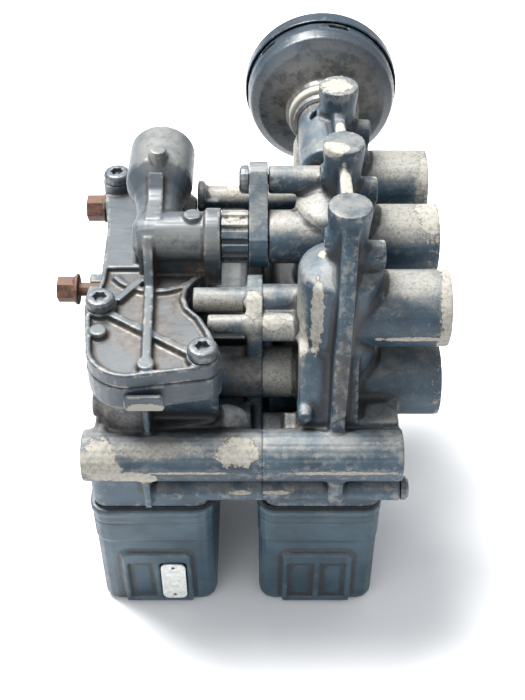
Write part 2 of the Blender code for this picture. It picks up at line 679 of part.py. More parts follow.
def solenoid_box(side):
    x = BOX_XS[side]
    outer = [(3.4, 0), (1.2, 1.2), (0, 4.5), (0, 61), (-0.6, 61.8), (-0.6, 77.0), (0, 77.5), (0, 78.1)]
    outer += [(-0.6, 78.6), (-0.6, 84.2), (-1.1, 84.9), (-1.1, BOX_TOP - 1.2), (-0.3, BOX_TOP)]
    inner = [(BOX_WALL, BOX_TOP), (BOX_WALL, BOX_WALL)]
    shell = loft([box_level(x, inset, z) for inset, z in outer + inner])
    front = BOX_Y - BOX_DEPTH / 2
    frame = [(-20.5, 2.5), (20.5, 2.5), (20.5, 47), (17.5, 50), (-17.5, 50), (-20.5, 47)]
    shapes = [shell, prism([(x + a, b) for a, b in frame], "y", front - 2.2, front + 1)]
    for place in box_screw_places(x).values():
        shapes.append(rod("z", place, 2, 84, 4.6, facets=SMALL_ROUND))
    cuts = [block(x + a, x + b, front - 5, front - 0.5, 6, 41) for a, b in ((-17.5, -1.6), (1.6, 17.5))]
    for place in box_screw_places(x).values():
        cuts.append(rod("z", place, -2, 90, 2.2, facets=10))
        cuts.append(rod("z", place, -2, 3.6, 4.0, facets=SMALL_ROUND))
    cuts.append(rod("y", (x, 44), -4, 6, 11.0, facets=20))
    return fused(side + "_solenoid_box", "box_plastic", shapes, cuts)


def box_gasket(side):
    x = BOX_XS[side]
    outline, _ = box_level(x, 1.4, 0)
    opening, _ = box_level(x, 3.4, 0)
    body = prism(outline, "z", BOX_TOP + GAP, NECK_BOTTOM - GAP)
    return fused(side + "_box_gasket", "rubber", [body], [prism(opening, "z", 80, 100)])


def closing_plate(side):
    """The plate that shuts the casting's bore, with two air holes over the solenoids."""
    x = BOX_XS[side]
    outline, _ = box_level(x, 3.7, 0)
    cuts = [rod("z", (x, y), 80, 96, 2.5, facets=10) for y in COIL_YS]
    for place in box_screw_places(x).values():
        cuts.append(rod("z", place, 80, 96, 2.2, facets=10))
    return fused(side + "_closing_plate", "brass", [prism(outline, "z", 85, NECK_BOTTOM - GAP)], cuts)


def box_screw(side, which):
    x, y = box_screw_places(BOX_XS[side])[which]
    profile = [(0, 0.6), (3.4, 0.6), (3.7, 1.2), (3.7, 3.3), (1.9, 3.3), (1.9, 90.4), (0, 90.4)]
    recess = prism(hex_outline(x, y, 3.0), "z", -1, 2.4)
    name = side + "_box_screw_" + which
    return fused(name, "zinc_steel", [revolved(profile, "z", (x, y), 12)], [recess])


def connector(side):
    """The round electrical socket on the back of a box."""
    x = BOX_XS[side]
    profile = [(0, -1.8), (10.6, -1.8), (10.6, 2.8), (16.0, 2.8), (16.0, 6), (13.5, 7)]
    profile += [(13.5, 22), (11.4, 22), (11.4, 9), (0, 9)]
    shapes = [revolved(profile, "y", (x, 44), 20)]
    for a in (90, 210, 330):
        place = (x + 13.2 * cos(radians(a)), 44 + 13.2 * sin(radians(a)))
        shapes.append(rod("y", place, 12, 16, 2.0, facets=8))
    return fused(side + "_connector", "box_plastic", shapes)


def tag_plate():
    x, z = BOX_XS["left"] + 9.6, 24.6
    outline = rounded_rectangle(x, z, 14.6, 34.0, 4.0, 3)
    front = BOX_Y - BOX_DEPTH / 2 - 2.2 - GAP
    holes = [rod("y", (x, z + dz), front - 2, front + 2, 1.3, facets=10) for dz in (-13.5, 13.5)]
    return fused("tag_plate", "white_tag", [prism(outline, "y", front - 0.8, front)], holes)


# ---------------------------------------------------------------- inside a box


def coil(side, name, y):
    x = BOX_XS[side]
    profile = [(6.3, 41.9), (13.5, 41.9), (13.5, 44), (12.4, 44.4)]
    profile += [(12.4, 82.2), (13.5, 82.6), (13.5, 84.7), (6.3, 84.7)]
    return fused(f"{side}_{name}_coil", "coil_winding", [revolved(profile, "z", (x, y), 16)])


def armature(side, name, y):
    x = BOX_XS[side]
    profile = [(0, 44), (4.2, 44), (4.2, 47), (5.8, 48), (5.8, 69), (5.0, 70), (0, 70)]
    return fused(f"{side}_{name}_armature", "zinc_steel", [revolved(profile, "z", (x, y), 16)])


def armature_spring(side, name, y):
    spring = helix(BOX_XS[side], y, 70.4, 84.6, 4.4, 0.5, 4)
    return finish(spring, f"{side}_{name}_armature_spring", "zinc_steel")


def circuit_board(side):
    x = BOX_XS[side]
    outline = rounded_rectangle(x, BOX_Y, 60, 100, 5, 2)
    cuts = [rod("z", place, 30, 50, 5.2, facets=SMALL_ROUND) for place in box_screw_places(x).values()]
    return fused(side + "_circuit_board", "board", [prism(outline, "z", 40, 41.6)], cuts)


def pressure_sensor(side):
    x = BOX_XS[side]
    profile = [(0, 41.9), (7.5, 41.9), (7.5, 50), (5.5, 51), (5.5, 56), (3, 57), (3, 60), (0, 60)]
    return fused(side + "_pressure_sensor", "zinc_steel", [revolved(profile, "z", (x, BOX_Y), 16)])


# ---------------------------------------------------------------- inside a valve body


def relay_piston(side):
    r = BORE_RADIUS - 0.4
    profile = [(0, 97), (r, 97), (r, 102.6), (r - 2.4, 102.6), (r - 2.4, 106.4), (r, 106.4), (r, 112)]
    profile += [(6, 113), (5, 115), (5, 134), (0, 134)]
    return fused(side + "_relay_piston", "brass", [revolved(profile, "z", BORES[side])])


def piston_seal(side):
    r = BORE_RADIUS
    profile = [(r - 2.2, 103), (r - 0.1, 103.4), (r - 0.1, 105.6), (r - 2.2, 106)]
    return fused(side + "_piston_seal", "rubber", [revolved(profile, "z", BORES[side])])


def valve_seat(side):
    r = BORE_RADIUS - GAP
    profile = [(7.5, 128), (r, 128), (r, 131), (9.5, 131), (8.8, 133.9), (7.5, 133.9)]
    return fused(side + "_valve_seat", "brass", [revolved(profile, "z", BORES[side])])


def poppet(side):
    profile = [(0, 134.3), (10.8, 134.3), (10.8, 137.2), (4, 138), (4, 144), (3, 145), (0, 145)]
    return fused(side + "_poppet", "rubber", [revolved(profile, "z", BORES[side], 16)])


def poppet_spring(side):
    x, y = BORES[side]
    return finish(helix(x, y, 138.2, BORE_TOP - 0.3, 7.2, 0.8, 4), side + "_poppet_spring", "zinc_steel")


# ---------------------------------------------------------------- silencer


def silencer_bowl():
    profile = [
        (15.5, 76),
        (19.4, 76),
        (20.2, 77),
        (20.2, 82),
        (22, 85.5),
        (30, 88),
        (38, 91.3),
        (43.2, 95.6),
        (45, 102),
        (45, 110),
        (42.6, 110),
        (42.4, 103),
        (40.8, 98),
        (36.6, 94.6),
        (28.8, 91.2),
        (18, 90),
        (15.5, 88),
    ]
    x, z = SILENCER
    slots = [block(x - 6, x + 6, 105, 108.5, z + 41, z + 49) for _ in range(6)]
    for k, slot in enumerate(slots):
        turned_about_y(slot, SILENCER, 60 * k + 12)
    return fused("silencer_bowl", "silencer_plastic", [revolved(profile, "y", SILENCER, 32)], slots)


def silencer_cover():
    profile = [
        (0, 117.5),
        (41.5, 117.5),
        (45.4, 116),
        (45.4, 109.4),
        (46.7, 109.4),
        (46.7, 119.4),
        (45.7, 120.5),
        (41, 120.5),
        (40, 119.7),
        (0, 119.7),
    ]
    x, z = SILENCER
    vents = [block(x - 2.5, x + 2.5, 114, 124, z + 15, z + 33) for _ in range(8)]
    for k, vent in enumerate(vents):
        turned_about_y(vent, SILENCER, 45 * k)
    return fused("silencer_cover", "silencer_plastic", [revolved(profile, "y", SILENCER, 32)], vents)


def silencer_clamp():
    body = tube("y", SILENCER, 71.2, 75.4, 15.4, 17.6)
    x, z = SILENCER
    ears = block(x - 2.6, x + 2.6, 71.3, 75.3, z + 16, z + 22)
    split = block(x - 0.8, x + 0.8, 70, 77, z + 12, z + 25)
    return fused("silencer_clamp", "zinc_steel", [body, ears], [split])


def silencer_absorber():
    return fused("silencer_absorber", "felt", [tube("y", SILENCER, 99.5, 114.5, 9, 38, 24)])


def exhaust_flap():
    profile = [(0, 91.1), (13, 91.1), (13, 92.3), (3, 93), (3, 94.4), (0, 94.4)]
    return fused("exhaust_flap", "rubber", [revolved(profile, "y", SILENCER, 16)])


# ---------------------------------------------------------------- build


def build_channel(side):
    """One channel: its box with everything in it, and the valve set in its casting."""
    solenoid_box(side)
    box_gasket(side)
    closing_plate(side)
    connector(side)
    circuit_board(side)
    pressure_sensor(side)
    for which in ("front", "rear"):
        box_screw(side, which)
    for name, y in zip(("exhaust", "inlet"), COIL_YS):
        coil(side, name, y)
        armature(side, name, y)
        armature_spring(side, name, y)
    relay_piston(side)
    piston_seal(side)
    valve_seat(side)
    poppet(side)
    poppet_spring(side)


def main():
    clear_scene()
    left_casting()
    right_casting()
    for side in ("left", "right"):
        build_channel(side)
    duct_cover()
    cover_base()
    cover_clip()
    for name, (x, y, under_head) in COVER_SCREWS.items():
        torx_screw("cover_screw_" + name, x, y, under_head, 38.0)
    duct_sleeve()
    sleeve_flange()
    sleeve_screw()
    for name, (y, z, face, across) in FLANGE_BOLTS.items():
        flange_bolt("flange_bolt_" + name, y, z, face, across)
    tie_bolt()
    tag_plate()
    silencer_bowl()
    silencer_cover()
    silencer_clamp()
    silencer_absorber()
    exhaust_flap()
    for obj in bpy.data.objects:
        obj.data.transform(Matrix.Translation((ORIGIN_SHIFT_X * MM, 0, 0)))


main()
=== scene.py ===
"""Looks of the two-channel modulator valve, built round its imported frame.

Metres throughout, in the row frame: +X towards the ports, -Y the front, +Z up.
"""

import json
from math import cos, pi, radians

import bpy
import numpy as np
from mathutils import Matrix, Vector


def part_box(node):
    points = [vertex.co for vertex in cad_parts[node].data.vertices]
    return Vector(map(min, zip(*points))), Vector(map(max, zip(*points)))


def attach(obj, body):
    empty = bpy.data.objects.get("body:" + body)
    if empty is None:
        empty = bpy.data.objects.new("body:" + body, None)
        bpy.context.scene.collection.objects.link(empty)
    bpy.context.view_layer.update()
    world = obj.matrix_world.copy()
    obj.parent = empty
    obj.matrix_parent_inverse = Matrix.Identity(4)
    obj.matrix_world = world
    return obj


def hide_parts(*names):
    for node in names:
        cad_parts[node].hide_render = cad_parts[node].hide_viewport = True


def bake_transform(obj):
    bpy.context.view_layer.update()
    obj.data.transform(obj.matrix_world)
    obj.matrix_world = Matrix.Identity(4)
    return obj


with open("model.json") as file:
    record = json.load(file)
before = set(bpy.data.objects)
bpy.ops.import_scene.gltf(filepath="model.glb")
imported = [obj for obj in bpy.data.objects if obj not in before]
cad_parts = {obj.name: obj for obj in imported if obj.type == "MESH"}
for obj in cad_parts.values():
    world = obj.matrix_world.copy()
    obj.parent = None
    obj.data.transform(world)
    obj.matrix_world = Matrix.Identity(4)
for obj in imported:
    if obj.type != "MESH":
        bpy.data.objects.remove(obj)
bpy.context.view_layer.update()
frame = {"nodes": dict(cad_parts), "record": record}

MM = 0.001
HOUSING = "housing"
STEP = 0.55  # share of the way to the neighbours' mean that a vertex goes in each round
INWARD_HOLD = 0.65  # share of an inward step that is taken back, so that edges stay crisp
HOLLOW_ROUNDS, HOLLOW_BLUR = 14, 3
BORE_MARGIN = 0.5  # mm
SEAM_REACH = 0.6  # share of a voxel


# ---------------------------------------------------------------- finer meshes from the frame


def linked(name, mesh):
    obj = bpy.data.objects.new(name, mesh)
    bpy.context.scene.collection.objects.link(obj)
    return obj


def evaluated(obj):
    """The object's mesh with its modifiers applied. The object itself is removed."""
    bpy.context.view_layer.update()
    graph = bpy.context.evaluated_depsgraph_get()
    mesh = bpy.data.meshes.new_from_object(obj.evaluated_get(graph))
    bpy.data.objects.remove(obj, do_unlink=True)
    return mesh


def voxel_mesh(node, voxel):
    """A closed mesh of small quads over a CAD node."""
    obj = linked("grid", frame["nodes"][node].data.copy())
    obj.data.materials.clear()
    weld = obj.modifiers.new("weld", "WELD")
    weld.merge_threshold = 0.01 * MM
    grid = obj.modifiers.new("grid", "REMESH")
    grid.mode = "VOXEL"
    grid.voxel_size = voxel
    return evaluated(obj)


def array_of(items, attribute, width, kind=np.float32):
    values = np.empty(len(items) * width, kind)
    items.foreach_get(attribute, values)
    return values.reshape(-1, width) if width > 1 else values


def vertex_normals(points, quads):
    first, second, third, fourth = (points[quads[:, corner]] for corner in range(4))
    across = np.cross(third - first, fourth - second)
    total = np.zeros_like(points)
    for corner in range(4):
        for axis in range(3):
            total[:, axis] += np.bincount(quads[:, corner], across[:, axis], len(points))
    return total / np.maximum(np.linalg.norm(total, axis=1), 1e-12)[:, None]


def neighbour_mean(values, edges):
    """Each vertex's mean over the vertices that it shares an edge with."""
    count = len(values)
    a, b = edges[:, 0], edges[:, 1]
    shares = np.bincount(a, minlength=count) + np.bincount(b, minlength=count)
    mean = np.empty_like(values)
    for axis in range(values.shape[1]):
        total = np.bincount(a, values[b, axis], count) + np.bincount(b, values[a, axis], count)
        mean[:, axis] = total / np.maximum(shares, 1)
    return mean


def relaxed(points, quads, edges, rounds, fillet, wear, held):
    """Fills inside corners by up to fillet and wears outside edges by up to wear.

    Both are along the surface normal. held marks the vertices that stay where they are, such as
    those of a bore.
    """
    start = points.copy()
    outward = vertex_normals(points, quads)
    for _ in range(rounds):
        step = neighbour_mean(points, edges) - points
        along = (step * outward).sum(1)
        step -= np.where(along < 0, INWARD_HOLD * along, 0.0)[:, None] * outward
        points = points + STEP * step
        moved = ((points - start) * outward).sum(1)
        points += (np.clip(moved, -wear, fillet) - moved)[:, None] * outward
        points[held] = start[held]
    return points


def hollows(points, quads, edges):
    """How hollow the surface is at each vertex: above 0 in a recess, below 0 on an edge."""
    smooth = points
    for _ in range(HOLLOW_ROUNDS):
        smooth = neighbour_mean(smooth, edges)
    depth = ((smooth - points) * vertex_normals(points, quads)).sum(1)[:, None]
    for _ in range(HOLLOW_BLUR):
        depth = neighbour_mean(depth, edges)
    return depth[:, 0] / MM


def in_bore(points, axis, centre, span, radius):
    """Marks the vertices on the wall and floor of a bore along X, Y or Z."""
    along = "xyz".index(axis)
    others = [k for k in range(3) if k != along]
    off = points[:, others] - np.array(centre) * MM
    near = np.hypot(off[:, 0], off[:, 1]) < (radius + BORE_MARGIN) * MM
    return near & (points[:, along] > span[0] * MM) & (points[:, along] < span[1] * MM)


def made_round(points, axis, centre, facets, span, reach):
    """Turns the flat facets of a turned shape into true arcs.

    It works within span along the axis and within reach of it.
    """
    along = "xyz".index(axis)
    others = [k for k in range(3) if k != along]
    off = points[:, others] - np.array(centre) * MM
    step = 2 * pi / facets
    place = (np.arctan2(off[:, 1], off[:, 0]) / step - 0.5) % 1.0
    grow = np.cos((place - 0.5) * step) / cos(step / 2)
    height = points[:, along]
    near = np.hypot(off[:, 0], off[:, 1]) < reach * MM
    near &= (height > span[0] * MM) & (height < span[1] * MM)
    points = points.copy()
    points[np.ix_(near, others)] = (np.array(centre) * MM + off * grow[:, None])[near]
    return points


def refined(
    node, voxel, rounds, fillet, wear, keep=1.0, bores=(), turned=(), seam=None, shape=None
):
    """Replaces a CAD node by a finer copy of itself with softened edges and filled inside corners.

    keep is the share of faces left at the end. bores stay as they are, turned lists the shapes to
    make round, seam is an x plane that stays flat, and shape moves the points once more.
    """
    mesh = voxel_mesh(node, voxel * MM)
    points = array_of(mesh.vertices, "co", 3).astype(float)
    edges = array_of(mesh.edges, "vertices", 2, np.int32)
    quads = array_of(mesh.polygons, "vertices", 4, np.int32)
    held = np.zeros(len(points), bool)
    for bore in bores:
        held |= in_bore(points, *bore)
    if seam is not None:
        flat = np.abs(points[:, 0] - seam) < SEAM_REACH * voxel * MM
        points[flat, 0] = seam
        held |= flat
    points = relaxed(points, quads, edges, rounds, fillet * MM, wear * MM, held)
    for circle in turned:
        points = made_round(points, *circle)
    if shape:
        points = shape(points, vertex_normals(points, quads))
    points = np.clip(points, *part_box(node))
    if seam is not None:
        points[flat, 0] = seam
    mesh.vertices.foreach_set("co", points.astype(np.float32).ravel())
    hollow = mesh.attributes.new("hollow", "FLOAT", "POINT")
    hollow.data.foreach_set("value", hollows(points, quads, edges).astype(np.float32))
    mesh.update()
    obj = linked(node + "_fine", mesh)
    if keep < 1.0:
        thin = obj.modifiers.new("thin", "DECIMATE")
        thin.ratio = keep
        obj = linked(node + "_fine", evaluated(obj))
    obj.name = obj.data.name = node + "_fine"
    obj.data.shade_smooth()
    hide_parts(node)
    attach(obj, HOUSING)
    return obj


# ---------------------------------------------------------------- material graphs


class Graph:
    """Builds one material's nodes. Positions are the row frame's, in millimetres."""

    def __init__(self, name):
        self.material = bpy.data.materials.new(name)
        self.material.use_nodes = True
        self.tree = self.material.node_tree
        self.shader = self.tree.nodes["Principled BSDF"]
        coordinates = self.node("ShaderNodeTexCoord")
        self.place = self.vector("SCALE", coordinates.outputs["Object"], Scale=1 / MM)
        self.normal = self.parts(coordinates.outputs["Normal"])
        self.x, self.y, self.z = self.parts(self.place)
        self.seed = 0.0

    def put(self, socket, value):
        if isinstance(value, bpy.types.NodeSocket):
            self.tree.links.new(value, socket)
        else:
            socket.default_value = value

    def node(self, kind, inputs=None, **settings):
        made = self.tree.nodes.new(kind)
        for key, value in settings.items():
            setattr(made, key, value)
        for key, value in (inputs or {}).items():
            self.put(made.inputs[key], value)
        return made

    def vector(self, operation, first, second=None, **named):
        inputs = {0: first, **named}
        if second is not None:
            inputs[1] = second
        made = self.node("ShaderNodeVectorMath", inputs, operation=operation)
        return made.outputs["Value" if operation == "LENGTH" else "Vector"]

    def parts(self, vector):
        split = self.node("ShaderNodeSeparateXYZ", {0: vector})
        return split.outputs[0], split.outputs[1], split.outputs[2]

    def math(self, operation, first, second=0.0):
        return self.node("ShaderNodeMath", {0: first, 1: second}, operation=operation).outputs[0]

    def noise(self, size, detail=4.0, rough=0.55, stretch=(1, 1, 1)):
        """Noise from 0 to 1 whose blots are about size millimetres across."""
        self.seed += 37.0
        place = self.vector("MULTIPLY", self.place, tuple(s / size for s in stretch))
        place = self.vector("ADD", place, (self.seed, self.seed * 0.7, 11.0))
        inputs = {"Vector": place, "Scale": 1.0, "Detail": detail, "Roughness": rough}
        return self.node("ShaderNodeTexNoise", inputs).outputs[0]

    def cells(self, size):
        """Distance to the nearest of scattered points, about size millimetres apart."""
        place = self.vector("MULTIPLY", self.place, (1 / size,) * 3)
        inputs = {"Vector": place, "Scale": 1.0}
        return self.node("ShaderNodeTexVoronoi", inputs).outputs["Distance"]

    def between(self, value, low, high, start=0.0, end=1.0):
        """start below low, end above high, and a smooth step from one to the other."""
        inputs = {"Value": value, "From Min": low, "From Max": high, "To Min": start, "To Max": end}
        return self.node("ShaderNodeMapRange", inputs, interpolation_type="SMOOTHSTEP").outputs[0]

    def times(self, *values):
        total = values[0]
        for value in values[1:]:
            total = self.math("MULTIPLY", total, value)
        return total

    def any_of(self, *masks):
        total = masks[0]
        for mask in masks[1:]:
            total = self.math("MAXIMUM", total, mask)
        return total

    def spot(self, centre, radii, ragged, soft):
        """A patch round a point, with an edge that the material's grain breaks up."""
        off = self.vector("SUBTRACT", self.place, centre)
        off = self.vector("MULTIPLY", off, tuple(1 / r for r in radii))
        reach = self.vector("LENGTH", off)
        broken = self.times(self.math("SUBTRACT", self.grain, 0.5), 2 * ragged)
        reach = self.math("ADD", reach, broken)
        return self.between(reach, 1 - soft, 1 + soft, 1.0, 0.0)

    def colour(self, first, second, factor):
        inputs = {"Factor": factor, 6: first, 7: second}
        made = self.node("ShaderNodeMix", inputs, data_type="RGBA", clamp_factor=True)
        return made.outputs[2]

    def hollow(self):
        return self.node("ShaderNodeAttribute", attribute_name="hollow").outputs["Fac"]

    def spots(self, places, soft):
        return self.any_of(*[self.spot(*place, soft=soft) for place in places])

    def bump(self, height, distance):
        inputs = {"Height": height, "Distance": distance * MM, "Strength": 1.0}
        return self.node("ShaderNodeBump", inputs).outputs[0]

    def finish(self, colour, roughness, normal=None, metallic=0.0, specular=0.5):
        self.put(self.shader.inputs["Base Color"], colour)
        self.put(self.shader.inputs["Roughness"], roughness)
        self.shader.inputs["Metallic"].default_value = metallic
        self.shader.inputs["Specular IOR Level"].default_value = specular
        if normal is not None:
            self.put(self.shader.inputs["Normal"], normal)
        return self.material


def rgb(r, g, b):
    return (r, g, b, 1.0)


# The palette. Colours are linear.
SKIN_DARK, SKIN_LIGHT = rgb(0.008, 0.027, 0.046), rgb(0.030, 0.064, 0.094)
SKIN_SCUFFED = rgb(0.085, 0.112, 0.132)
# The dim chalk shade also paints highlights on the outside edges.
CHALK, DIM_CHALK_AND_EDGE_HIGHLIGHT = rgb(0.33, 0.312, 0.270), rgb(0.22, 0.212, 0.188)
# The dust shades also paint top light on the castings, and the pale one paints a patch of light on
# a shadowed tube.
DUST_AND_TOP_LIGHT, PALE_DUST_AND_PAINTED_LIGHT = rgb(0.185, 0.185, 0.172), rgb(0.260, 0.248, 0.215)
# The dark soil shade also paints shade in the hollows of the cover and clip.
SOIL, DARK_SOIL_AND_HOLLOW_SHADE = rgb(0.120, 0.098, 0.078), rgb(0.040, 0.033, 0.027)
# The grime shade also paints shade in hollows, corners and pockets.
GRIME_AND_SHADE = rgb(0.012, 0.013, 0.015)
RUST_DARK, RUST_LIGHT = rgb(0.030, 0.013, 0.009), rgb(0.128, 0.056, 0.032)
RUST_TOP, RUST_PIT = rgb(0.20, 0.125, 0.09), rgb(0.035, 0.018, 0.012)

# How soft a spot's edge is, as a share of its radius
FLAKE_EDGE, DUST_AND_LIGHT_EDGE, SOIL_EDGE, GRIME_AND_SHADE_EDGE = 0.05, 0.35, 0.40, 0.45
PLASTIC_DUST_EDGE, PLASTIC_SOIL_EDGE = 0.5, 0.45

# Bump heights, in millimetres
CAST_RELIEF, PLASTIC_RELIEF, RUST_RELIEF, METAL_RELIEF, SOFT_RELIEF = 0.30, 0.10, 0.35, 0.05, 0.15


def soiled(g, surface, soil, grain_size, low, high):
    """Brown dirt, in two shades and broken up by a fine noise, where soil is high."""
    mixed = g.colour(DARK_SOIL_AND_HOLLOW_SHADE, SOIL, g.between(g.grain, 0.36, 0.62))
    broken = g.between(g.noise(grain_size, 8.0, 0.7), low, high)
    return g.colour(surface, mixed, g.times(soil, broken))


def cast_surface(name, chalk_spots, dust_and_painted_light_spots, soil_spots, grime_and_shade_spots, extra=None):
    """Weathered casting: navy-grey skin, dust on the tops that is partly painted top light, flaking
    chalk, brown dirt in the pockets, grime with painted shade in the hollows and pockets, and wear
    with painted highlights on the outside edges.

    Each list holds spots: a centre and radii in millimetres, and how ragged the edge is. extra
    gives more masks for the chalk.
    """
    g = Graph(name)
    g.grain = g.noise(5.5, 10.0, 0.72)
    fine = g.noise(1.0, 6.0, 0.65)
    broad = g.noise(30.0, 3.0, 0.5)
    hollow = g.hollow()
    surface = g.colour(SKIN_DARK, SKIN_LIGHT, g.between(broad, 0.36, 0.66))
    surface = g.colour(surface, SKIN_SCUFFED, g.times(g.between(g.grain, 0.53, 0.66), 0.55))
    mottle = g.noise(1.6, 9.0, 0.78)
    patchy = g.noise(13.0, 8.0, 0.66)
    stained = g.between(patchy, 0.4, 0.6, 0.15, 0.6)
    surface = g.colour(surface, GRIME_AND_SHADE, g.times(g.between(mottle, 0.34, 0.52, 1.0, 0.0), stained))

    # Dust on what faces up, partly painted top light.
    tilt = g.math("ADD", g.normal[2], g.times(g.math("SUBTRACT", g.grain, 0.5), 0.7))
    spread = g.math("ADD", g.times(patchy, 0.72), g.times(mottle, 0.28))
    up = g.times(g.between(tilt, 0.30, 1.05), g.between(spread, 0.40, 0.60, 0.22, 0.80))
    surface = g.colour(surface, DUST_AND_TOP_LIGHT, up)
    # Pale dust spots; one of them is painted light on a tube that lies in shadow.
    dust_and_painted_light = g.times(g.spots(dust_and_painted_light_spots, DUST_AND_LIGHT_EDGE), g.between(mottle, 0.36, 0.56, 0.25, 1.0))
    surface = g.colour(surface, PALE_DUST_AND_PAINTED_LIGHT, dust_and_painted_light)

    # Wear on the outside edges, partly painted highlight.
    wear_and_edge_highlight = g.times(g.between(hollow, -0.34, -0.12, 1.0, 0.0), g.between(g.grain, 0.48, 0.60), 0.6)
    surface = g.colour(surface, DIM_CHALK_AND_EDGE_HIGHLIGHT, wear_and_edge_highlight)
    # Dirt and painted shade in the hollows.
    dirt_and_hollow_shade = g.times(g.between(hollow, 0.01, 0.16), g.between(g.grain, 0.25, 0.50), 0.9)
    surface = g.colour(surface, GRIME_AND_SHADE, dirt_and_hollow_shade)
    # Grime and painted shade in the listed pockets and recesses.
    pocket_grime_and_shade = g.times(g.spots(grime_and_shade_spots, GRIME_AND_SHADE_EDGE), g.between(fine, 0.3, 0.6, 0.7, 0.95))
    surface = g.colour(surface, GRIME_AND_SHADE, pocket_grime_and_shade)
    surface = soiled(g, surface, g.spots(soil_spots, SOIL_EDGE), 2.2, 0.38, 0.58)

    chalk = g.any_of(g.spots(chalk_spots, FLAKE_EDGE), *(extra(g) if extra else ()))
    pale = g.colour(DIM_CHALK_AND_EDGE_HIGHLIGHT, CHALK, g.between(g.noise(2.4, 7.0, 0.72), 0.36, 0.56))
    surface = g.colour(surface, pale, chalk)
    flecks = g.times(g.between(g.cells(1.3), 0.04, 0.12, 1.0, 0.0), g.between(broad, 0.45, 0.6))
    surface = g.colour(surface, DIM_CHALK_AND_EDGE_HIGHLIGHT, g.times(flecks, 0.5))
    specks = g.times(g.between(g.cells(2.1), 0.04, 0.14, 1.0, 0.0), g.between(g.grain, 0.46, 0.62))
    surface = g.colour(surface, GRIME_AND_SHADE, g.times(specks, 0.75))

    rough = g.math("MAXIMUM", g.between(fine, 0.2, 0.8, 0.34, 0.56), g.times(chalk, 0.9))
    height = g.math("ADD", g.times(g.noise(0.8, 5.0, 0.65), 0.5), g.times(g.grain, 0.5))
    height = g.math("ADD", height, g.times(chalk, 0.9))
    return g.finish(surface, rough, g.bump(height, CAST_RELIEF))


def plastic(
    name,
    dark,
    light,
    dust,
    wear_and_edge_highlight,
    corner,
    spots=(),
    soil_spots=(),
    dust_and_painted_light_spots=(),
    gloss=(0.34, 0.5),
):
    """Moulded plastic: two near shades, scuffs that are partly painted highlights on the edges,
    dust on what faces up, and dirt with painted shade in the hollows and corners.

    dust and the edge-wear strength say how strong those are, corner is the colour of the dirt and
    painted shade in the corners, and gloss is the range of the roughness. spots are pale flakes.
    """
    g = Graph(name)
    g.grain = g.noise(7.0, 9.0, 0.7)
    fine = g.noise(0.8, 5.0, 0.65)
    hollow = g.hollow()
    surface = g.colour(dark, light, g.between(g.noise(26.0, 4.0), 0.32, 0.68))
    tilt = g.math("ADD", g.normal[2], g.times(g.math("SUBTRACT", g.grain, 0.5), 0.5))
    up = g.times(g.between(tilt, 0.35, 1.0), g.between(fine, 0.25, 0.70, 0.5, 1.0), dust)
    surface = g.colour(surface, DUST_AND_TOP_LIGHT, up)
    if dust_and_painted_light_spots:
        broken = g.between(g.grain, 0.34, 0.60, 0.2, 0.8)
        dust_and_painted_light = g.times(g.spots(dust_and_painted_light_spots, PLASTIC_DUST_EDGE), broken)
        surface = g.colour(surface, DUST_AND_TOP_LIGHT, dust_and_painted_light)
    # Rubbed edges, partly painted highlight.
    rubbed_and_highlit = g.times(
        g.between(hollow, -0.26, -0.08, 1.0, 0.0), g.between(g.grain, 0.50, 0.60), wear_and_edge_highlight
    )
    surface = g.colour(surface, DIM_CHALK_AND_EDGE_HIGHLIGHT, rubbed_and_highlit)
    # Dirt and painted shade in the hollows and corners.
    dirt_and_hollow_shade = g.times(g.between(hollow, 0.02, 0.14), g.between(g.grain, 0.26, 0.50), 0.9)
    surface = g.colour(surface, corner, dirt_and_hollow_shade)
    if soil_spots:
        surface = soiled(g, surface, g.spots(soil_spots, PLASTIC_SOIL_EDGE), 2.4, 0.36, 0.56)
    scratch = g.noise(1.6, 3.0, 0.5, stretch=(0.12, 1.0, 1.0))
    rough = g.between(scratch, 0.3, 0.75, *gloss)
    if spots:
        flakes = g.times(g.spots(spots, FLAKE_EDGE), 0.8)
        surface = g.colour(surface, CHALK, flakes)
        rough = g.math("MAXIMUM", rough, flakes)
    height = g.math("ADD", g.times(fine, 0.35), g.times(g.grain, 0.35))
    return g.finish(surface, rough, g.bump(height, PLASTIC_RELIEF))


def rusty(name):
    g = Graph(name)
    g.grain = g.noise(3.2, 8.0, 0.7)
    surface = g.colour(RUST_DARK, RUST_LIGHT, g.between(g.grain, 0.38, 0.62))
    surface = g.colour(surface, RUST_TOP, g.times(g.between(g.normal[2], 0.3, 0.9), 0.35))
    surface = g.colour(surface, RUST_PIT, g.between(g.noise(1.7, 6.0, 0.7), 0.60, 0.75))
    height = g.math("ADD", g.grain, g.times(g.noise(0.6, 4.0), 0.5))
    rough = g.between(g.grain, 0.3, 0.7, 0.55, 0.85)
    return g.finish(surface, rough, g.bump(height, RUST_RELIEF), metallic=0.2)


def metal(name, dark, light, roughness, metallic=0.85):
    g = Graph(name)
    g.grain = g.noise(3.0, 6.0, 0.6)
    surface = g.colour(dark, light, g.between(g.grain, 0.3, 0.7))
    rough = g.between(g.noise(0.9, 3.0), 0.25, 0.75, roughness - 0.08, roughness + 0.12)
    return g.finish(surface, rough, g.bump(g.grain, METAL_RELIEF), metallic=metallic)


def soft(name, dark, light, roughness, grain_size):
    """Rubber, felt, board and other things without gloss."""
    g = Graph(name)
    g.grain = g.noise(grain_size, 5.0, 0.6)
    surface = g.colour(dark, light, g.between(g.grain, 0.3, 0.7))
    return g.finish(surface, roughness, g.bump(g.grain, SOFT_RELIEF), specular=0.3)


# ---------------------------------------------------------------- the castings


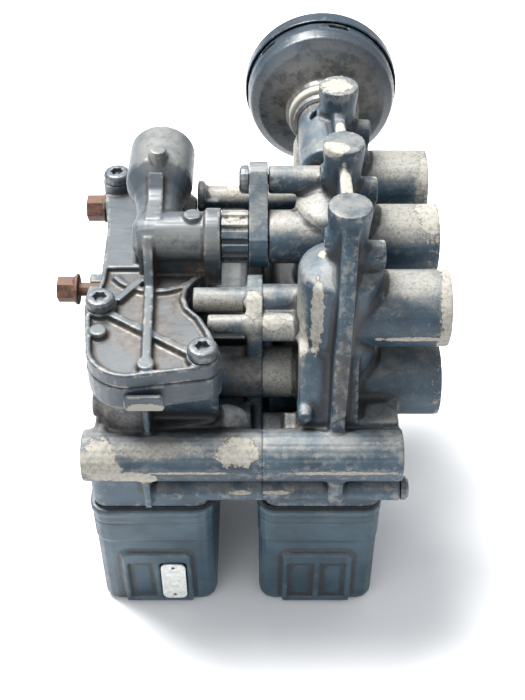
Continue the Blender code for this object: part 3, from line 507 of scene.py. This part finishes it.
# Spots on the castings: centre and radii in millimetres, and how ragged the edge is.
RIGHT_CHALK = (
    ((51, 59, 264), (9, 8, 4), 1.2),
    ((52, 30, 256), (3.4, 8, 6), 0.5),
    ((46, -5, 264), (9, 6, 5), 0.5),
    ((52, -26, 257), (3.6, 15, 7), 0.5),
    ((40, -55, 229), (3.4, 5, 4.5), 0.5),
    ((88, -77, 193.5), (20, 6, 1.7), 1.5),
    ((37, -75, 208), (3.6, 7, 24), 1.4),
    ((30, -70, 184), (3.0, 8, 14), 1.5),
    ((107, 46, 212), (5, 15, 9), 1.1),
    ((101, 0, 212), (8, 15, 11), 1.1),
    ((14, -60, 190), (7, 5, 4), 0.9),
    ((50, -120, 137), (32, 5, 1.2), 1.8),
    ((16, -115, 115), (9, 4, 1.1), 1.7),
    ((71, -52, 237), (3, 4, 6), 0.7),
    ((71, 4, 237), (3, 4, 6), 0.7),
)
# Pale dust patches; one of them is painted light.
RIGHT_DUST_AND_PAINTED_LIGHT = (
    ((28, -60, 186), (5, 18, 34), 0.7),
    ((88, 0, 216), (22, 18, 12), 0.6),
    ((88, 58, 215), (22, 16, 8), 0.8),
    ((84, -58, 217), (20, 12, 4), 0.8),
    # Painted light: a pale patch on the low tube where it lies in shadow.
    ((24, -68, 160), (16, 16, 16), 0.4),
    ((34, -8, 222), (12, 14, 14), 0.6),
    ((32, 50, 222), (12, 16, 16), 0.6),
    ((20, -12, 222), (12, 9, 4), 0.9),
    ((36, 12, 238), (16, 7, 3), 0.9),
    ((14, 47, 200), (24, 8, 5), 0.7),
    ((20, -62, 189), (12, 9, 8), 0.7),
    ((104, 56, 205), (8, 18, 16), 1.1),
    ((42, 78, 236), (16, 10, 14), 0.8),
)
RIGHT_SOIL = (
    ((50, -92, 178), (4, 10, 26), 0.6),
    ((45, 76, 236), (18, 12, 16), 0.6),
    ((22, -96, 138), (18, 9, 12), 0.6),
    ((22, -20, 196), (12, 18, 9), 0.7),
)
# Dark patches of grime and painted shade in the pockets.
RIGHT_GRIME_AND_SHADE = (
    ((18, -26, 172), (16, 22, 24), 0.4),
    ((24, 20, 172), (16, 26, 24), 0.4),
    ((30, -98, 132), (16, 8, 14), 0.5),
    ((24, -88, 143), (9, 6, 5), 0.2),
    ((14, -80, 134), (13, 8, 5), 0.4),
)
LEFT_CHALK = (
    ((-77, -114, 140), (12, 15, 11), 0.55),
    ((-60, -116, 132), (14, 9, 7), 0.6),
    ((-4, -114, 147), (12, 8, 7), 1.2),
    ((4, -52, 196), (6, 8, 7), 0.9),
    ((-9, 47, 201), (4, 6, 4), 0.6),
    ((-30, -120, 137), (24, 5, 0.9), 1.8),
    ((-4, -115, 115), (7, 4, 1.2), 1.7),
)
LEFT_DUSTY = (
    ((-8, 47, 200), (24, 8, 6), 0.6),
    ((4, -54, 190), (7, 12, 13), 0.7),
    ((-16, -52, 192), (24, 9, 9), 0.5),
    ((-50, -116, 150), (30, 6, 5), 1.2),
)
LEFT_SOIL = (
    ((-1, -68, 155), (11, 13, 12), 0.6),
    ((-72, -96, 160), (18, 16, 10), 0.6),
    ((-18, -92, 126), (44, 8, 10), 0.8),
)
# Dark patches of grime and painted shade in the pocket and in the recess under the base.
LEFT_GRIME_AND_SHADE = (
    ((-14, -36, 168), (22, 28, 22), 0.4),
    ((-30, -96, 146), (40, 10, 10), 0.5),
)


RIM_X = 100.5
RIM_RAGGED = 13.0


def port_rims(g):
    """A ragged band of corrosion on the ports' ends, whole on the upper front port."""
    ragged = g.times(g.math("SUBTRACT", g.noise(4.0, 8.0, 0.7), 0.5), RIM_RAGGED)
    rim = g.between(g.math("ADD", g.x, ragged), RIM_X, RIM_X + 1.0)
    front = g.between(g.y, -35.0, -25.0, 1.0, 0.0)
    upper = g.between(g.z, 166.0, 172.0)
    patches = g.between(g.grain, 0.52, 0.57)
    return (g.times(rim, g.any_of(g.times(front, upper), patches)),)


RIDGE_X, RIDGE_LEAN = 52.2, 0.03
RIDGE_WIDTH, RIDGE_HEIGHT = 0.55, 0.45
RIDGE_FROM_Z, RIDGE_FADE = 250.0, 4.0


def parting_ridge(points, normals):
    """The thin flash line that the mould's halves left over the pads and the web."""
    middle = RIDGE_X * MM + RIDGE_LEAN * points[:, 1]
    off = (points[:, 0] - middle) / (RIDGE_WIDTH * MM)
    high = np.clip((points[:, 2] / MM - RIDGE_FROM_Z) / RIDGE_FADE, 0.0, 1.0)
    return points + normals * (RIDGE_HEIGHT * MM * np.exp(-(off**2)) * high)[:, None]


BORE_RADII = {"port": 10.2, "supply": 8.6, "lug": 4.3}
BORE_OVERRUN = 2
POCKET_RISE, POCKET_SPAN, POCKET_RADIUS = 10.6, (38.0, 48.0), 3.6
TUBE_FACETS = 24
PORT_START, PORT_REACH = 75.0, 22.0
SUPPLY_SPAN, SUPPLY_REACH = (-90.0, 90.0), 14.6


def openings_along_x():
    """The bores that the record lists along X: kind, centre, low end and high end, in mm."""
    found = []
    for opening in frame["record"]["physics"]["openings"]:
        kind = opening["name"].split("_")[0]
        if kind in BORE_RADII:
            low, high = opening["box_m"]
            centre = ((low[1] + high[1]) / 2 / MM, (low[2] + high[2]) / 2 / MM)
            found.append((kind, centre, low[0] / MM, high[0] / MM))
    return found


def casting_bores():
    bores = []
    for kind, centre, low, high in openings_along_x():
        span = (low - BORE_OVERRUN, high + BORE_OVERRUN)
        bores.append(("x", centre, span, BORE_RADII[kind]))
        if kind == "lug":
            pocket = (centre[0], centre[1] + POCKET_RISE)
            bores.append(("x", pocket, POCKET_SPAN, POCKET_RADIUS))
    return bores


def casting_tubes():
    """The round tubes along X that both castings have: centre, facets, ends and reach."""
    tubes = []
    for kind, centre, low, high in openings_along_x():
        if kind == "port":
            tubes.append(("x", centre, TUBE_FACETS, (PORT_START, high + 1), PORT_REACH))
        elif kind == "supply":
            tubes.append(("x", centre, TUBE_FACETS, SUPPLY_SPAN, SUPPLY_REACH))
    return tubes


SLEEVE_CHALK = (((-6, -9, 224), (5, 6, 3), 1.0),)
SLEEVE_DUSTY = (((-2, -9, 222), (12, 10, 5), 0.8),)
SLEEVE_SOIL = (((-6, -20, 199), (9, 8, 8), 0.5),)
# A dark patch of grime and painted shade on the sleeve.
SLEEVE_GRIME_AND_SHADE = (((-6, 2, 200), (8, 6, 5), 0.5),)


def castings():
    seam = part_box("right_valve_body")[0][0]
    common = {"keep": 0.34, "bores": casting_bores(), "turned": casting_tubes(), "seam": seam}
    right = refined("right_valve_body", 0.9, 20, 1.1, 0.28, shape=parting_ridge, **common)
    right.data.materials.append(
        cast_surface(
            "right_casting", RIGHT_CHALK, RIGHT_DUST_AND_PAINTED_LIGHT, RIGHT_SOIL, RIGHT_GRIME_AND_SHADE, extra=port_rims
        )
    )
    left = refined("left_valve_body", 0.85, 18, 1.0, 0.28, **common)
    left.data.materials.append(
        cast_surface("left_casting", LEFT_CHALK, LEFT_DUSTY, LEFT_SOIL, LEFT_GRIME_AND_SHADE)
    )
    finish = cast_surface(
        "sleeve_casting", SLEEVE_CHALK, SLEEVE_DUSTY, SLEEVE_SOIL, SLEEVE_GRIME_AND_SHADE
    )
    for node in ("duct_sleeve", "sleeve_flange"):
        piece = refined(node, 0.4, 5, 0.3, 0.15, keep=0.5)
        piece.data.materials.append(finish)


# ---------------------------------------------------------------- plastic pieces


COVER_SOIL = (
    ((-25, -22, 194), (10, 7, 7), 0.5),
    ((-40, -80, 190), (10, 12, 4), 0.5),
    ((-34, 14, 206), (9, 16, 14), 0.6),
    ((-38, -40, 190), (7, 14, 4), 0.5),
    ((-56, -66, 190), (18, 18, 3), 0.5),
    ((-58, -36, 190), (12, 14, 3), 0.5),
)
COVER_DUSTY = (((-46, 38, 238), (20, 24, 9), 0.7), ((-34, -23, 214), (26, 10, 8), 0.9))
CLIP_FLAKES = (((-52, -107, 173), (10, 3, 3.4), 0.7),)
NECK_FLAKES = (((45, 78, 231), (24, 5.2, 24), 0.12),)
SILENCER_SOIL = (((45, 90, 238), (32, 10, 24), 0.9),)
SILENCER_DUSTY = (((45, 86, 236), (37, 22, 35), 0.4),)

# Turned shapes to make round: axis, centre, facets, span along the axis and reach, in mm
DUCT_PORT = ("y", (-50.25, 220.0), 24, (25.5, 60.0), 20.0)
DUCT = ("x", (-9.5, 209.0), 24, (-50.0, -12.0), 16.4)
SILENCER_FACETS, SILENCER_SPAN, SILENCER_REACH = 32, (70, 125), 50


def cover():
    dark, light = rgb(0.020, 0.034, 0.047), rgb(0.052, 0.066, 0.080)
    finish = plastic(
        "cover_plastic",
        dark,
        light,
        0.32,
        0.7,
        DARK_SOIL_AND_HOLLOW_SHADE,
        soil_spots=COVER_SOIL,
        dust_and_painted_light_spots=COVER_DUSTY,
    )
    clip_finish = plastic("clip_plastic", dark, light, 0.8, 0.9, DARK_SOIL_AND_HOLLOW_SHADE, spots=CLIP_FLAKES)
    for node, voxel, keep, turned, surface in (
        ("duct_cover", 0.55, 0.38, (DUCT_PORT, DUCT), finish),
        ("cover_base", 0.6, 0.34, (), finish),
        ("cover_clip", 0.35, 0.5, (), clip_finish),
    ):
        piece = refined(node, voxel, 12, 0.9, 0.25, keep=keep, turned=turned)
        piece.data.materials.append(surface)


def solenoid_boxes():
    dark, light = rgb(0.010, 0.032, 0.050), rgb(0.030, 0.066, 0.092)
    finish = plastic("box_plastic", dark, light, 0.38, 0.15, GRIME_AND_SHADE)
    for side in ("left", "right"):
        for part, voxel, keep in (("_solenoid_box", 0.7, 0.22), ("_connector", 0.5, 0.4)):
            piece = refined(side + part, voxel, 6, 0.4, 0.2, keep=keep)
            piece.data.materials.append(finish)


def silencer():
    finish = plastic(
        "silencer_plastic",
        rgb(0.003, 0.012, 0.024),
        rgb(0.009, 0.026, 0.044),
        0.10,
        0.25,
        GRIME_AND_SHADE,
        spots=NECK_FLAKES,
        soil_spots=SILENCER_SOIL,
        dust_and_painted_light_spots=SILENCER_DUSTY,
        gloss=(0.26, 0.44),
    )
    low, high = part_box("silencer_cover")
    middle = ((low[0] + high[0]) / 2 / MM, (low[2] + high[2]) / 2 / MM)
    turned = (("y", middle, SILENCER_FACETS, SILENCER_SPAN, SILENCER_REACH),)
    for node in ("silencer_bowl", "silencer_cover"):
        piece = refined(node, 0.6, 14, 1.6, 0.5, keep=0.36, turned=turned)
        piece.data.materials.append(finish)


# ---------------------------------------------------------------- metal pieces


SCREWS = (
    "cover_screw_front",
    "cover_screw_left",
    "cover_screw_rear",
    "sleeve_screw",
    "tie_bolt",
)


def fasteners():
    grey = metal("screw_steel", rgb(0.060, 0.070, 0.080), rgb(0.150, 0.158, 0.165), 0.46, 0.45)
    rust = rusty("rusty_steel")
    for node in SCREWS:
        piece = refined(node, 0.24, 3, 0.15, 0.1, keep=0.35)
        piece.data.materials.append(grey)
    for node in ("flange_bolt_front", "flange_bolt_rear"):
        piece = refined(node, 0.28, 5, 0.3, 0.2, keep=0.4)
        piece.data.materials.append(rust)


def carried_over():
    """CAD nodes that keep their shape and get a finer finish."""
    brass = metal("brass", rgb(0.42, 0.28, 0.10), rgb(0.62, 0.45, 0.18), 0.35)
    steel = metal("steel", rgb(0.34, 0.34, 0.35), rgb(0.55, 0.55, 0.55), 0.35)
    rubber = soft("rubber", rgb(0.012, 0.012, 0.013), rgb(0.030, 0.030, 0.031), 0.75, 1.5)
    winding = soft("winding", rgb(0.05, 0.03, 0.02), rgb(0.12, 0.07, 0.04), 0.5, 0.8)
    board = soft("board", rgb(0.010, 0.06, 0.025), rgb(0.02, 0.11, 0.05), 0.4, 6.0)
    tag = soft("tag", rgb(0.50, 0.52, 0.50), rgb(0.72, 0.73, 0.71), 0.45, 3.0)
    felt = soft("felt", rgb(0.22, 0.20, 0.17), rgb(0.42, 0.39, 0.34), 0.95, 0.7)
    finishes = {
        "brass": brass,
        "zinc_steel": steel,
        "rubber": rubber,
        "coil_winding": winding,
        "board": board,
        "white_tag": tag,
        "felt": felt,
    }
    for part in frame["record"]["subparts"]:
        finish = finishes.get(part["material_slot"])
        if finish is None:
            continue
        obj = frame["nodes"][part["node"]]
        obj.data.materials.clear()
        obj.data.materials.append(finish)


def springs():
    """A copy of each spring that the joints list takes the place of its CAD node."""
    for joint in frame["record"]["behaviour"]["joints"]:
        for spring in joint.get("deforming_nodes", ()):
            node = spring["node"]
            obj = linked(node + "_fine", frame["nodes"][node].data.copy())
            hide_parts(node)
            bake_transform(obj)


# ---------------------------------------------------------------- stage


def floor():
    mesh = bpy.data.meshes.new("floor")
    reach = 4.0
    corners = [(-reach, -reach, 0), (reach, -reach, 0), (reach, reach, 0), (-reach, reach, 0)]
    mesh.from_pydata(corners, [], [(0, 1, 2, 3)])
    obj = linked("floor", mesh)
    g = Graph("floor_paint")
    g.finish(rgb(0.92, 0.92, 0.92), 0.8)
    mesh.materials.append(g.material)


def area_light(name, place, size, power, aim=(0.0, 0.0, 0.14)):
    light = bpy.data.lights.new(name, "AREA")
    light.shape = "RECTANGLE"
    light.size, light.size_y = size
    light.energy = power
    obj = bpy.data.objects.new(name, light)
    obj.location = place
    direction = Vector(aim) - Vector(place)
    obj.rotation_euler = direction.to_track_quat("-Z", "Y").to_euler()
    bpy.context.scene.collection.objects.link(obj)


def studio():
    floor()
    area_light("key", (-0.45, 0.45, 1.6), (0.8, 0.8), 74)
    area_light("fill", (-0.9, -1.3, 0.8), (1.4, 1.0), 6)
    world = bpy.data.worlds.new("studio")
    world.use_nodes = True
    world.node_tree.nodes["Background"].inputs[0].default_value = rgb(0.93, 0.96, 1.0)
    world.node_tree.nodes["Background"].inputs[1].default_value = 0.70
    bpy.context.scene.world = world
    bpy.context.scene.view_settings.view_transform = "Standard"


def camera():
    lens = bpy.data.cameras.new("camera")
    lens.lens = 56.57
    lens.sensor_width = 36.0
    lens.clip_start = 0.02
    obj = bpy.data.objects.new("camera", lens)
    obj.location = (0.00875, -0.4975, 0.585)
    obj.rotation_euler = (radians(90 - 43.5), 0, 0)
    bpy.context.scene.collection.objects.link(obj)
    bpy.context.scene.camera = obj


camera()
castings()
cover()
solenoid_boxes()
silencer()
fasteners()
carried_over()
springs()
studio()
